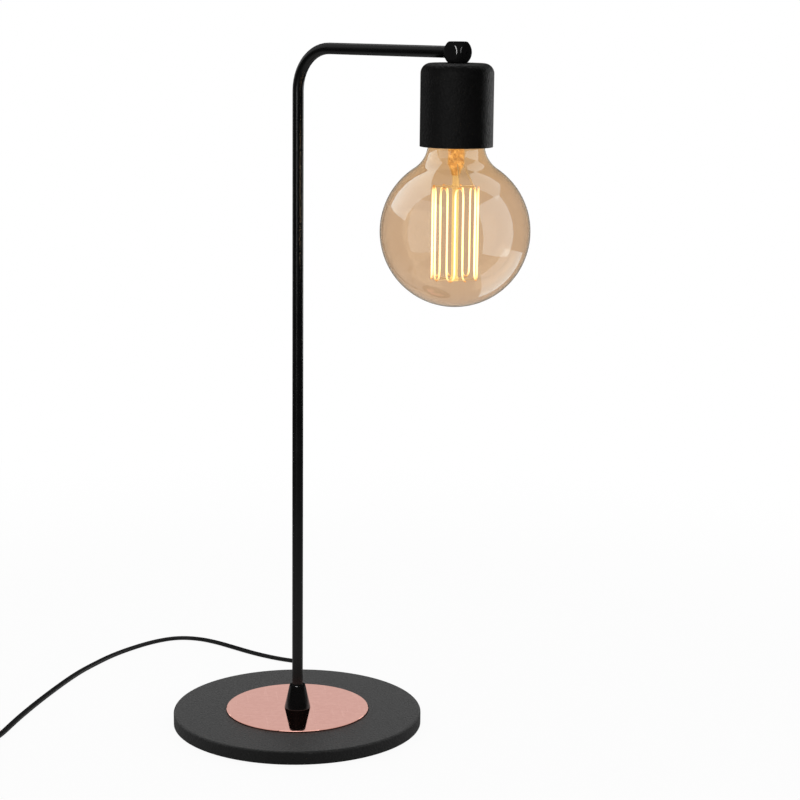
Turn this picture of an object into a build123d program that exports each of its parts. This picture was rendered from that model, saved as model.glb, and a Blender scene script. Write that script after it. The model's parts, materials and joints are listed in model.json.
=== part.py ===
from build123d import *

import os
from math import cos, hypot, pi, radians, sin, sqrt, tan

# A bedside lamp: a round base, a bent tube, a cup at the end of the arm and a globe bulb.
# Millimetres, +Z up. The origin is on the table, under the pole. The arm points along +X.

# General clearances
clearance = 0.05
loose = 0.3
overrun = 2.0

# Base
base_diameter = 174.0
base_thickness = 9.0
base_edge_radius = 1.6
pad_thickness = 1.0
pad_margin = 3.0
inlay_diameter = 100.0
inlay_thickness = 2.2
inlay_chamfer = 0.3
inlay_groove = 0.4
inlay_stand = 1.0
pocket_diameter = 34.0
pocket_web = 1.8
channel_width = 6.0
channel_height = 3.5
grommet_width = 9.0
grommet_height = 4.6
grommet_length = 7.0
sleeve_length = 20.0
sleeve_root_width = 7.0
sleeve_root_height = 4.4
sleeve_tip_width = 5.6
sleeve_tip_height = 3.3

# Ferrule at the foot of the pole
ferrule_foot_diameter = 18.2
ferrule_top_diameter = 10.8
ferrule_height = 17.0
ferrule_edge = 0.4
ferrule_round = 1.3

# Stem: pole, bend and arm in one tube
tube_diameter = 7.5
tube_wall = 0.9
bend_radius = 28.5
arm_height = 470.2
arm_reach = 138.3
stem_washer_diameter = 20.0
stem_washer_thickness = 0.6
stem_nut_flats = 13.0
stem_nut_thickness = 2.2

# Elbow at the end of the arm, and what holds the cup on it
elbow_flats = 13.2
elbow_width = 14.3
elbow_ball_diameter = 17.6
elbow_edge_radius = 2.0
elbow_dimple_diameter = 1.3
elbow_dimple_depth = 0.8
locknut_diameter = 8.4
locknut_length = 1.6
nipple_diameter = 7.5
nipple_wall = 0.9
nipple_below_cap = 0.6
cup_washer_diameter = 18.0
cup_washer_thickness = 1.0
cup_nut_flats = 13.0
cup_nut_thickness = 3.0

# Cup
cup_diameter = 46.0
cup_height = 51.6
cup_wall = 1.5
cup_corner_radius = 6.5

# Lampholder in the cup
holder_diameter = 38.0
holder_wall = 2.0
holder_cap_height = 5.2
holder_cap_roof = 1.8
insert_thickness = 3.6
insert_inset = 1.0
holder_body_length = 30.0
shell_diameter = 28.4
shell_wall = 0.6
shell_length = 25.4
contact_length = 14.0
contact_width = 5.0
contact_thickness = 0.5
contact_pad_diameter = 5.0
terminal_spacing = 20.0
terminal_head_diameter = 4.6
terminal_head_height = 1.8
terminal_shank_diameter = 2.6

# Bulb
bulb_diameter = 95.0
bulb_drop = 111.6
bulb_length = 136.0
glass_wall = 0.8
neck_diameter = 35.4
neck_above_mouth = 2.0
cap_diameter = 26.0
cap_length = 22.5
cap_wall = 0.4
insulator_height = 2.6
insulator_diameter = 24.0
tip_diameter = 9.0
tip_height = 1.4
glass_in_cap = 8.0
stem_glass_diameter = 10.4
stem_glass_taper = 6.5
stem_glass_end_diameter = 4.8
stem_glass_bottom_drop = 76.2
stem_flare_drop = 57.0
rod_diameter = 4.2
button_diameter = 5.4
button_height = 2.4
cage_diameter = 29.0
cage_top_drop = 83.2
cage_height = 58.4
cage_hooks = 9
strand_diameter = 0.6
hook_diameter = 0.6
lead_diameter = 0.6

# Flex, laid flat
flex_width = 4.6
flex_thickness = 2.5
flex_off_table = 0.05
flex_in_base_lift = 0.2
flex_foot_bend = 2.2
flex_elbow_bend = 4.0
flex_join_height = 8.0
flex_in_switch = 3.0
flex_in_plug = 4.0
cord_angle = 133.7

# Coil of the flex that is put away
coil_x = -176.0
coil_y = -268.0
coil_radius = 34.0
coil_pitch = 5.2
coil_layer_gap = 0.6
coil_quarters_in = 15
coil_quarters_out = 14
tie_thickness = 0.6
tie_gap = 0.4
tie_width = 6.0
tie_angle = 40.0

# Rocker switch on the flex
switch_x = -112.0
switch_top_y = -208.0
switch_length = 58.0
switch_width = 24.0
switch_height = 14.0
switch_split = 6.5
switch_wall = 1.6
switch_plan_radius = 9.0
switch_edge_radius = 2.0
rocker_reach = 8.3
rocker_width = 9.6
rocker_pivot_drop = 3.6
rocker_crown = 4.6
rocker_valley = 2.9
rocker_belly = 2.5
rocker_heel = 1.0
rocker_tilt = 10.0
rocker_slot_gap = 0.3
trunnion_diameter = 2.4
lug_thickness = 2.0
lug_width = 6.0
lug_below_pivot = 2.2
contact_block_length = 10.0
contact_block_width = 6.0
contact_block_height = 4.0
contact_block_spacing = 28.0
switch_screw_x = 7.0
switch_screw_y = 20.0
switch_post_diameter = 6.0
switch_screw_diameter = 2.2
switch_screw_head_diameter = 4.4
switch_screw_head_height = 1.4
switch_screw_length = 9.0

# Flat two-pin plug
plug_gap_y = 54.0
plug_sleeve_length = 20.0
plug_sleeve_root_width = 9.0
plug_sleeve_root_height = 7.0
plug_length = 36.0
plug_back_width = 13.0
plug_face_width = 35.0
plug_shoulder = 20.0
plug_thickness = 13.7
plug_edge_radius = 2.5
pin_diameter = 4.0
pin_length = 19.0
pin_seat = 8.0
pin_spacing = 18.6

# Heights worked out from these sizes
base_top = pad_thickness + base_thickness
inlay_top = base_top + inlay_stand
inlay_floor = inlay_top - inlay_thickness
pocket_roof = inlay_floor - pocket_web
stem_bottom = pocket_roof - stem_washer_thickness - stem_nut_thickness
tube_grip = elbow_width / 2 - nipple_diameter / 2 - clearance
nipple_grip = elbow_flats / 2 - tube_diameter / 2 - clearance
arm_end = arm_reach - elbow_width / 2 + tube_grip
cup_top = arm_height - elbow_flats / 2
cup_mouth = cup_top - cup_height
cup_roof = cup_top - cup_wall
holder_top = cup_roof - cup_washer_thickness - cup_nut_thickness
insert_top = holder_top - holder_cap_height
insert_bottom = insert_top - insert_thickness
nipple_bottom = holder_top - holder_cap_roof - nipple_below_cap
bulb_centre = arm_height - bulb_drop
bulb_bottom = bulb_centre - bulb_diameter / 2
tip_top = bulb_bottom + bulb_length
cap_top = tip_top - tip_height - insulator_height
cap_bottom = cap_top - cap_length
cage_top = arm_height - cage_top_drop
cage_bottom = cage_top - cage_height
flex_in_base = pad_thickness + flex_in_base_lift + flex_thickness / 2
flex_on_table = flex_off_table + flex_thickness / 2
coil_lower = flex_on_table + tie_thickness + tie_gap
coil_upper = coil_lower + flex_thickness + coil_layer_gap
coil_inner_radius = coil_radius - coil_pitch * coil_quarters_in / 4
coil_end_radius = coil_radius - coil_pitch * (coil_quarters_in - coil_quarters_out) / 4
plug_x = coil_x - coil_end_radius
plug_y = coil_y + plug_gap_y
rim = base_diameter / 2

# The flex's route on the table, chosen by hand, from the rim of the base to the switch
cord_route = [
    (rim * cos(radians(cord_angle)), rim * sin(radians(cord_angle)), flex_in_base),
    (-79.2, 82.9, flex_in_base),
    (-90.3, 94.5, flex_on_table),
    (-105.2, 88.7, flex_on_table),
    (-128.0, 85.0, flex_on_table),
    (-150.0, 84.6, flex_on_table),
    (-172.0, 84.4, flex_on_table),
    (-190.0, 80.8, flex_on_table),
    (-203.5, 71.0, flex_on_table),
    (-209.0, 54.0, flex_on_table),
    (-209.6, 33.0, flex_on_table),
    (-207.0, 8.0, flex_on_table),
    (-200.5, -16.0, flex_on_table),
    (-192.0, -42.0, flex_on_table),
    (-171.0, -86.0, flex_on_table),
    (-147.0, -131.0, flex_on_table),
    (-124.0, -168.0, flex_on_table),
    (switch_x, -190.0, switch_split),
    (switch_x, switch_top_y - flex_in_switch, switch_split),
]

# From the switch to the coil
lead_route = [
    (switch_x, switch_top_y - switch_length + flex_in_switch, switch_split),
    (switch_x, -281.0, switch_split),
    (-123.0, -295.0, flex_on_table),
    (-144.0, coil_y - coil_radius, coil_lower),
    (coil_x, coil_y - coil_radius, coil_lower),
]

# From the coil to the plug
tail_route = [
    (plug_x, coil_y, coil_upper),
    (plug_x, -260.0, coil_upper),
    (plug_x, -244.0, plug_thickness / 2),
    (plug_x, plug_y + flex_in_plug, plug_thickness / 2),
]


def upright(diameter, bottom, top):
    """A cylinder about Z between two heights."""
    grown = (Align.CENTER, Align.CENTER, Align.MIN)
    return Pos(0, 0, bottom) * Cylinder(diameter / 2, top - bottom, align=grown)


def pipe(outer, inner, bottom, top):
    """A straight pipe about Z between two heights."""
    return upright(outer, bottom, top) - upright(inner, bottom - overrun, top + overrun)


def hex_nut(flats, bore, bottom, top):
    """A plain hexagon nut about Z."""
    outline = RegularPolygon(flats / 2, side_count=6, major_radius=False)
    return Pos(0, 0, bottom) * extrude(outline, top - bottom) - upright(bore, bottom - overrun, top + overrun)


def turned(profile):
    """A solid of revolution about Z from a closed line in the XZ plane."""
    return revolve(make_face(profile), Axis.Z)


def slab(plan, bottom, top):
    """A plan outline carried up between two heights."""
    return Pos(0, 0, bottom) * extrude(plan, top - bottom)


def at_arm_end(piece):
    """Moves a piece made about Z to the axis of the cup."""
    return Pos(arm_reach, 0, 0) * piece


def rod_between(start, end, diameter):
    """A round wire between two points."""
    line = Line(start, end)
    return extrude(Plane(line @ 0, z_dir=line % 0) * Circle(diameter / 2), line.length)


def rounded_route(points):
    """Straight runs joined by tangent arcs, each as large as its two runs allow."""
    run_share = 0.45
    points = [Vector(*point) for point in points]
    edges = []
    radii = []
    last = points[0]
    for before, corner, after in zip(points, points[1:], points[2:]):
        towards = (corner - before).normalized()
        onwards = (after - corner).normalized()
        turn = radians(towards.get_angle(onwards))
        reach = run_share * min((corner - before).length, (after - corner).length)
        radius = reach / tan(turn / 2)
        inward = (onwards - towards).normalized()
        bulge = corner + inward * (radius / cos(turn / 2) - radius)
        edges.append(Line(last, corner - towards * reach))
        edges.append(ThreePointArc(corner - towards * reach, bulge, corner + onwards * reach))
        last = corner + onwards * reach
        radii.append(radius)
    edges.append(Line(last, points[-1]))
    return Wire(edges), radii


def biarc(start, start_way, end, end_way):
    """Two arcs that leave one point and reach another along given ways."""
    across = end - start
    ways = start_way + end_way
    square = 2 * start_way.dot(end_way) - 2
    linear = -2 * across.dot(ways)
    level = across.dot(across)
    arm = (-linear - sqrt(linear * linear - 4 * square * level)) / (2 * square)
    first_corner = start + start_way * arm
    second_corner = end - end_way * arm
    middle = (first_corner + second_corner) * 0.5
    edges = []
    for near, corner, far in ((start, first_corner, middle), (middle, second_corner, end)):
        chord_middle = (near + far) * 0.5
        half = (far - near).length / 2
        height = (corner - chord_middle).length
        sagitta = half * (hypot(half, height) - half) / height
        bulge = chord_middle + (corner - chord_middle).normalized() * sagitta
        edges.append(ThreePointArc(near, bulge, far))
    return edges


def flex_section(start, way, side):
    """The flex's flat section, square to its way, with its width along side."""
    return Plane(start, x_dir=side, z_dir=way) * SlotOverall(flex_width, flex_thickness)


def flex_along(path):
    """The flex along a path on the table, with its flat side down."""
    up = Vector(0, 0, 1)
    way = path % 0
    guide = path.moved(Location(up * flex_width))
    return sweep(flex_section(path @ 0, way, up.cross(way)), path=path, binormal=guide)


def flex_upright(path):
    """The flex along a path in the XZ plane, with its width across that plane."""
    across = Vector(0, 1, 0)
    guide = path.moved(Location(across * flex_width))
    return sweep(flex_section(path @ 0, path % 0, across), path=path, binormal=guide)


def flex_hole(start, way, side, length):
    """A hole for the flex, with its clearance, that starts at a point."""
    section = SlotOverall(flex_width + 2 * clearance, flex_thickness + 2 * clearance)
    return extrude(Plane(start, x_dir=side, z_dir=way) * section, length)


# Base


def base_plate():
    plate = upright(base_diameter, pad_thickness, base_top)
    plate = fillet(plate.edges().group_by(Axis.Z)[-1], base_edge_radius)
    plate -= upright(inlay_diameter + 2 * inlay_groove, inlay_floor, base_top + overrun)
    plate -= upright(pocket_diameter, pad_thickness - overrun, pocket_roof)
    plate -= upright(tube_diameter + 2 * clearance, pad_thickness, base_top)
    channel = Pos(rim / 2, 0, 0) * slab(Rectangle(rim, channel_width), -overrun, pad_thickness + channel_height)
    seat_x = rim - grommet_length / 2
    seat_plan = Rectangle(grommet_length + 2 * overrun, grommet_width)
    seat = Pos(seat_x + overrun, 0, 0) * slab(seat_plan, -overrun, pad_thickness + grommet_height)
    return plate - Rot(0, 0, cord_angle) * (channel + seat)


def base_pad():
    return upright(base_diameter - 2 * pad_margin, 0, pad_thickness)


def copper_inlay():
    disc = upright(inlay_diameter, inlay_floor, inlay_top)
    disc = chamfer(disc.edges().group_by(Axis.Z)[-1], inlay_chamfer)
    return disc - upright(tube_diameter + 2 * clearance, inlay_floor - overrun, inlay_top + overrun)


def sleeve(root, way, side, length, root_size, tip_size):
    """A tapered strain relief, solid, from its root to its tip."""
    sections = []
    for place, (width, height) in ((root, root_size), (root + Vector(*way) * length, tip_size)):
        sections.append(Plane(place, x_dir=side, z_dir=way) * SlotOverall(width, height))
    return loft(sections)


def cord_grommet():
    plan = Rectangle(2 * grommet_length, grommet_width - 2 * clearance)
    block = Pos(rim, 0, 0) * slab(plan, pad_thickness, pad_thickness + grommet_height - clearance)
    block &= upright(base_diameter, pad_thickness, base_top)
    out = (1, 0, 0)
    side = (0, 1, 0)
    root_size = (sleeve_root_width, sleeve_root_height)
    tip_size = (sleeve_tip_width, sleeve_tip_height)
    root = Vector(rim - pad_margin + clearance, 0, flex_in_base)
    block += sleeve(root, out, side, sleeve_length + pad_margin, root_size, tip_size)
    block -= flex_hole(root - Vector(grommet_length, 0, 0), out, side, sleeve_length + 2 * grommet_length)
    return Rot(0, 0, cord_angle) * block


def ferrule():
    foot = ferrule_foot_diameter / 2
    head = ferrule_top_diameter / 2
    bore = tube_diameter / 2 + clearance
    outline = Polyline(
        (bore, 0, inlay_top),
        (foot, 0, inlay_top),
        (foot, 0, inlay_top + ferrule_edge),
        (head, 0, inlay_top + ferrule_height),
        (bore, 0, inlay_top + ferrule_height),
        close=True,
    )
    cone = turned(outline)
    crown = cone.edges().group_by(Axis.Z)[-1].sort_by(SortBy.RADIUS)[-1]
    return fillet(crown, ferrule_round)


def stem_washer():
    bore = tube_diameter + 2 * clearance
    return pipe(stem_washer_diameter, bore, pocket_roof - stem_washer_thickness, pocket_roof)


def stem_nut():
    bore = tube_diameter + 2 * clearance
    return hex_nut(stem_nut_flats, bore, stem_bottom, stem_bottom + stem_nut_thickness)


def base_flex():
    inner = flex_foot_bend
    points = ((rim, flex_in_base), (inner, flex_in_base), (0, flex_in_base + inner), (0, flex_join_height))
    start, bend, rise, top = [Vector(x, 0, z) for x, z in points]
    on_arc = Vector(inner - inner * sin(pi / 4), 0, flex_in_base + inner - inner * cos(pi / 4))
    path = Wire([Line(start, bend), ThreePointArc(bend, on_arc, rise), Line(rise, top)])
    return Rot(0, 0, cord_angle) * flex_upright(path)


# Stem, elbow and cup


def stem_path():
    bend_start = Vector(0, 0, arm_height - bend_radius)
    bend_end = Vector(bend_radius, 0, arm_height)
    on_arc = Vector(bend_radius * (1 - cos(pi / 4)), 0, bend_start.Z + bend_radius * sin(pi / 4))
    edges = [
        Line((0, 0, stem_bottom), bend_start),
        ThreePointArc(bend_start, on_arc, bend_end),
        Line(bend_end, (arm_end, 0, arm_height)),
    ]
    return Wire(edges)


def stem_tube():
    path = stem_path()
    start = Plane((0, 0, stem_bottom))
    outside = sweep(start * Circle(tube_diameter / 2), path=path)
    inside = sweep(start * Circle(tube_diameter / 2 - tube_wall), path=path)
    return outside - inside


def stem_flex():
    turn = flex_elbow_bend
    bend_start = Vector(0, 0, arm_height - bend_radius)
    bend_end = Vector(bend_radius, 0, arm_height)
    on_bend = Vector(bend_radius * (1 - cos(pi / 4)), 0, bend_start.Z + bend_radius * sin(pi / 4))
    turn_start = Vector(arm_reach - turn, 0, arm_height)
    turn_end = Vector(arm_reach, 0, arm_height - turn)
    on_turn = Vector(arm_reach - turn + turn * sin(pi / 4), 0, arm_height - turn + turn * cos(pi / 4))
    edges = [
        Line((0, 0, flex_join_height), bend_start),
        ThreePointArc(bend_start, on_bend, bend_end),
        Line(bend_end, turn_start),
        ThreePointArc(turn_start, on_turn, turn_end),
        Line(turn_end, (arm_reach, 0, insert_top)),
    ]
    return flex_upright(Wire(edges))


def arm_locknut():
    ring = pipe(locknut_diameter, tube_diameter + 2 * clearance, 0, locknut_length)
    return Pos(arm_reach - elbow_width / 2 - locknut_length, 0, arm_height) * Rot(0, 90, 0) * ring


def elbow():
    cube = Box(elbow_width, elbow_width, elbow_flats) & Sphere(elbow_ball_diameter / 2)
    cube = fillet(cube.edges(), elbow_edge_radius)
    down = upright(nipple_diameter + 2 * clearance, -elbow_flats, tube_diameter / 2)
    sideways = Rot(0, -90, 0) * upright(tube_diameter + 2 * clearance, -nipple_diameter / 2, elbow_width)
    dimple_floor = elbow_width / 2 - elbow_dimple_depth
    dimple = Rot(0, 90, 0) * upright(elbow_dimple_diameter, dimple_floor, elbow_width)
    return Pos(arm_reach, 0, arm_height) * (cube - down - sideways - dimple)


def cup_nipple():
    top = cup_top + nipple_grip
    return at_arm_end(pipe(nipple_diameter, nipple_diameter - 2 * nipple_wall, nipple_bottom, top))


def cup_shell():
    outside = upright(cup_diameter, cup_mouth, cup_top)
    outside = fillet(outside.edges().group_by(Axis.Z)[-1], cup_corner_radius)
    inside = upright(cup_diameter - 2 * cup_wall, cup_mouth - overrun, cup_roof)
    inside = fillet(inside.edges().group_by(Axis.Z)[-1], cup_corner_radius - cup_wall)
    hole = upright(nipple_diameter + 2 * clearance, cup_roof - overrun, cup_top + overrun)
    return at_arm_end(outside - inside - hole)


def cup_washer():
    bore = nipple_diameter + 2 * clearance
    return at_arm_end(pipe(cup_washer_diameter, bore, cup_roof - cup_washer_thickness, cup_roof))


def cup_nut():
    bore = nipple_diameter + 2 * clearance
    return at_arm_end(hex_nut(cup_nut_flats, bore, holder_top, holder_top + cup_nut_thickness))


# Lampholder


def holder_cap():
    cap = upright(holder_diameter, insert_top, holder_top)
    cap -= upright(holder_diameter - 2 * holder_wall, insert_top - overrun, holder_top - holder_cap_roof)
    return at_arm_end(cap - upright(nipple_diameter + 2 * clearance, insert_top, holder_top + overrun))


def holder_insert():
    disc = upright(holder_diameter - 2 * insert_inset, insert_bottom, insert_top)
    hole = upright(terminal_shank_diameter + 2 * clearance, insert_bottom - overrun, insert_top + overrun)
    return at_arm_end(disc - [Pos(0, side * terminal_spacing / 2, 0) * hole for side in (-1, 1)])


def holder_body():
    bottom = insert_bottom - holder_body_length
    return at_arm_end(pipe(holder_diameter, holder_diameter - 2 * holder_wall, bottom, insert_bottom))


def screw_shell():
    bottom = insert_bottom - shell_length
    return at_arm_end(pipe(shell_diameter, shell_diameter - 2 * shell_wall, bottom, insert_bottom))


def centre_contact():
    leaf = slab(Rectangle(contact_length, contact_width), insert_bottom - contact_thickness, insert_bottom)
    return at_arm_end(leaf + upright(contact_pad_diameter, tip_top + loose, insert_bottom))


def terminal_screws():
    head = upright(terminal_head_diameter, insert_top, insert_top + terminal_head_height)
    screw = head + upright(terminal_shank_diameter, insert_bottom, insert_top)
    return [at_arm_end(Pos(0, side * terminal_spacing / 2, 0) * screw) for side in (-1, 1)]


# Bulb


def glass_outline(shrink):
    """The globe, its flare into the neck and the taper into the cap, drawn in by a wall."""
    globe = bulb_diameter / 2 - shrink
    neck = neck_diameter / 2 - shrink
    throat = cap_diameter / 2 - cap_wall - loose - shrink
    rise = cup_mouth + neck_above_mouth - bulb_centre
    flare = (rise * rise + neck * neck - globe * globe) / (2 * (globe - neck))
    over = sqrt((neck + flare) ** 2 + rise * rise)
    join = (globe * (neck + flare) / over, bulb_centre + globe * rise / over)
    belly = (globe * cos(pi / 8), bulb_centre - globe * sin(pi / 8))
    middle_way = Vector(-1, 0, 0) + Vector(join[0] - neck - flare, join[1] - bulb_centre - rise) / flare
    on_flare = Vector(neck + flare, bulb_centre + rise) + middle_way.normalized() * flare
    seat = cap_bottom + glass_in_cap
    globe_arc = ThreePointArc((0, 0, bulb_centre - globe), (belly[0], 0, belly[1]), (join[0], 0, join[1]))
    flare_arc = ThreePointArc((join[0], 0, join[1]), (on_flare.X, 0, on_flare.Y), (neck, 0, bulb_centre + rise))
    taper = Polyline((neck, 0, bulb_centre + rise), (throat, 0, cap_bottom), (throat, 0, seat), (0, 0, seat))
    return [globe_arc, flare_arc, taper, Line((0, 0, seat), (0, 0, bulb_centre - globe))]


def bulb_glass():
    outside = turned(Wire(Curve(children=glass_outline(0)).edges()))
    inside = turned(Wire(Curve(children=glass_outline(glass_wall)).edges()))
    return at_arm_end(outside - inside)


def bulb_cap():
    shell = pipe(cap_diameter, cap_diameter - 2 * cap_wall, cap_bottom, cap_top)
    return at_arm_end(shell)


def bulb_insulator():
    outline = Polyline(
        (0, 0, cap_top),
        (insulator_diameter / 2, 0, cap_top),
        (tip_diameter / 2, 0, cap_top + insulator_height),
        (0, 0, cap_top + insulator_height),
        close=True,
    )
    return at_arm_end(turned(outline) + upright(cap_diameter, cap_top, cap_top + cap_wall))


def bulb_tip():
    tip = upright(tip_diameter, tip_top - tip_height, tip_top)
    return at_arm_end(fillet(tip.edges().group_by(Axis.Z)[-1], tip_height / 2))


def stem_levels():
    """The heights of the glass stem's end and of its flare."""
    return arm_height - stem_glass_bottom_drop, arm_height - stem_flare_drop


def bulb_stem():
    end, flare = stem_levels()
    rim_radius = cap_diameter / 2 - cap_wall - loose - glass_wall - loose
    top = cap_bottom + glass_in_cap
    neck = stem_glass_diameter / 2
    outline = Polyline(
        (0, 0, end),
        (stem_glass_end_diameter / 2, 0, end),
        (neck, 0, end + stem_glass_taper),
        (neck, 0, flare),
        (rim_radius, 0, top),
        (0, 0, top),
        close=True,
    )
    stem = turned(outline)
    return at_arm_end(stem)


def bulb_rod():
    end, flare = stem_levels()
    rod = upright(rod_diameter, cage_bottom - button_height / 2, end)
    for height in (cage_top, cage_bottom):
        rod += upright(button_diameter, height - button_height / 2, height + button_height / 2)
    return at_arm_end(rod)


def hook_point(index, height):
    """The eye of one hook, on the cage's circle. The lower hooks sit half a step on."""
    turn = 2 * pi * (index + (0 if height == cage_top else 0.5)) / cage_hooks
    return Vector(arm_reach + cage_diameter / 2 * cos(turn), cage_diameter / 2 * sin(turn), height)


def support_wires():
    wires = []
    for height in (cage_top, cage_bottom):
        for index in range(cage_hooks):
            eye = hook_point(index, height)
            axis = Vector(arm_reach, 0, height)
            way = (eye - axis).normalized()
            wires.append(rod_between(axis + way * (button_diameter / 2), eye - way * strand_diameter, hook_diameter))
    return wires


def filament():
    eyes = []
    for index in range(cage_hooks):
        eyes += [hook_point(index, cage_top), hook_point(index, cage_bottom)]
    strands = [rod_between(start, end, strand_diameter) for start, end in zip(eyes, eyes[1:])]
    knots = [Pos(*eye) * Sphere(strand_diameter / 2) for eye in eyes]
    return Part() + strands + knots


def lead_wires():
    end, flare = stem_levels()
    leads = []
    for index in (0, cage_hooks - 1):
        eye = hook_point(index, cage_top)
        axis = Vector(arm_reach, 0, end + stem_glass_taper + lead_diameter)
        way = (Vector(eye.X, eye.Y, 0) - Vector(axis.X, axis.Y, 0)).normalized()
        foot = axis + way * (stem_glass_diameter / 2 + lead_diameter / 2)
        leads.append(rod_between(foot, eye + Vector(0, 0, strand_diameter + lead_diameter), lead_diameter))
    return leads


# Flex on the table


def coil_place(quarter):
    """A point of the coil and its way, counted in quarter turns from where the flex comes in."""
    radius = coil_radius - coil_pitch / 4 * (coil_quarters_in - abs(coil_quarters_in - quarter))
    turn = -pi / 2 - quarter * pi / 2
    climb = min(max((quarter - coil_quarters_in + 1) / 2, 0), 1)
    height = coil_lower + (coil_upper - coil_lower) * climb * climb * (3 - 2 * climb)
    rate = 0 if quarter == coil_quarters_in else coil_pitch / (2 * pi)
    outward = rate if quarter > coil_quarters_in else -rate
    slope = (coil_upper - coil_lower) * 6 * climb * (1 - climb) / pi
    spoke = Vector(cos(turn), sin(turn), 0)
    along = Vector(sin(turn), -cos(turn), 0)
    ends = quarter in (0, coil_quarters_in + coil_quarters_out)
    way = along if ends else (along * radius + spoke * outward + Vector(0, 0, slope)).normalized()
    return Vector(coil_x, coil_y, height) + spoke * radius, way


def coil_path():
    places = [coil_place(quarter) for quarter in range(coil_quarters_in + coil_quarters_out + 1)]
    edges = []
    for (start, start_way), (end, end_way) in zip(places, places[1:]):
        edges += biarc(start, start_way, end, end_way)
    return Wire(edges)


def least_coil_gap(path):
    """The least gap between turns, measured between the round edges of the flat section."""
    steps_per_quarter = 12
    steps = steps_per_quarter * (coil_quarters_in + coil_quarters_out)
    edge = (flex_width - flex_thickness) / 2
    points = []
    for step in range(steps + 1):
        place = path @ (step / steps)
        spoke = Vector(place.X - coil_x, place.Y - coil_y, 0).normalized()
        points.append((place - spoke * edge, place, place + spoke * edge))
    gaps = []
    for first in range(steps + 1):
        for second in range(first + 2 * steps_per_quarter, steps + 1):
            gaps += [(a - b).length - flex_thickness for a in points[first] for b in points[second]]
    return min(gaps)


def cord_run():
    path, radii = rounded_route(cord_route)
    report_route("cord_run", path, radii)
    return flex_along(path)


def cord_lead():
    path, radii = rounded_route(lead_route)
    report_route("cord_lead", path, radii)
    return flex_along(path)


def cord_coil():
    path = coil_path()
    print("cord_coil length", round(path.length, 1), "least gap", round(least_coil_gap(path), 2))
    return flex_along(path)


def cord_tail():
    path, radii = rounded_route(tail_route)
    report_route("cord_tail", path, radii)
    return flex_along(path)


def coil_tie():
    """A flat strap round all the turns at one place, held off them by its gap."""
    quarters_to_tie = (270 - tie_angle) / 90
    inner = coil_inner_radius - flex_width / 2 - tie_gap
    outer = coil_radius - coil_pitch / 4 * quarters_to_tie + flex_width / 2 + tie_gap
    top = coil_upper + flex_thickness / 2 + tie_gap
    hole = Pos((inner + outer) / 2, 0, 0) * slab(Rectangle(outer - inner, 2 * tie_width), tie_thickness, top)
    reach = outer - inner + 2 * tie_thickness
    band = Pos((inner + outer) / 2, 0, 0) * slab(Rectangle(reach, tie_width), 0, top + tie_thickness)
    return Pos(coil_x, coil_y, 0) * Rot(0, 0, tie_angle) * (band - hole)


def report_route(name, path, radii):
    print(name, "length", round(path.length, 1), "radii", [round(radius, 1) for radius in radii])


# Switch


def at_switch(piece):
    """Moves a piece made about the switch's middle to its place on the flex."""
    return Pos(switch_x, switch_top_y - switch_length / 2, 0) * piece


def switch_plan(inset):
    return RectangleRounded(switch_width - 2 * inset, switch_length - 2 * inset, switch_plan_radius - inset)


def switch_places():
    """The two housing screws, on a diagonal."""
    return [Pos(side * switch_screw_x, side * switch_screw_y, 0) for side in (-1, 1)]


def switch_flex_hole():
    start = Vector(0, -switch_length / 2 - overrun, switch_split)
    near = flex_hole(start, (0, 1, 0), (1, 0, 0), flex_in_switch + 2 * overrun)
    return near + Rot(0, 0, 180) * near


def switch_lower():
    case = slab(switch_plan(0), 0, switch_split)
    case = fillet(case.edges().group_by(Axis.Z)[0], switch_wall / 2)
    case -= slab(switch_plan(switch_wall), switch_wall, switch_split + overrun)
    case -= switch_flex_hole()
    post = upright(switch_post_diameter, 0, switch_split)
    head_room = upright(switch_screw_head_diameter + 2 * loose, -overrun, switch_screw_head_height + loose)
    bore = upright(switch_screw_diameter + 2 * clearance, -overrun, switch_split + overrun)
    for place in switch_places():
        case += place * post
        case -= place * (head_room + bore)
    return at_switch(case)


def rocker_pivot():
    return switch_height - rocker_pivot_drop


def switch_upper():
    case = slab(switch_plan(0), switch_split, switch_height)
    case = fillet(case.edges().group_by(Axis.Z)[-1], switch_edge_radius)
    roof = switch_height - switch_wall
    case -= slab(switch_plan(switch_wall), switch_split - overrun, roof)
    case -= switch_flex_hole()
    slot = Rectangle(rocker_width + 2 * rocker_slot_gap, 2 * (rocker_reach + rocker_slot_gap))
    case -= slab(slot, roof - overrun, switch_height + overrun)
    pivot = rocker_pivot()
    bore = Pos(0, 0, pivot) * Rot(0, 90, 0) * Cylinder(trunnion_diameter / 2 + clearance, switch_width)
    lug = slab(Rectangle(lug_thickness, lug_width), pivot - lug_below_pivot, roof)
    lug_x = rocker_width / 2 + rocker_slot_gap + lug_thickness / 2
    for side in (-1, 1):
        case += Pos(side * lug_x, 0, 0) * lug - bore
    post = upright(switch_post_diameter, switch_split, roof)
    hole = upright(switch_screw_diameter + 2 * clearance, switch_split - overrun, switch_split + switch_screw_length)
    for place in switch_places():
        case += place * (post - hole)
    return at_switch(case)


def switch_rocker():
    half = rocker_reach
    outline = Polyline(
        (-half, -rocker_heel),
        (-half / 2, -rocker_belly),
        (half / 2, -rocker_belly),
        (half, -rocker_heel),
        (half, rocker_crown),
        (0, rocker_valley),
        (-half, rocker_crown),
        close=True,
    )
    key = extrude(Plane.YZ * make_face(outline), rocker_width / 2, both=True)
    key &= Rot(0, 90, 0) * Cylinder(rocker_reach, rocker_width)
    trunnions = Rot(0, 90, 0) * Cylinder(trunnion_diameter / 2, rocker_width + 2 * rocker_slot_gap + 2 * lug_thickness)
    return at_switch(Pos(0, 0, rocker_pivot()) * Rot(rocker_tilt, 0, 0) * (key + trunnions))


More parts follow.
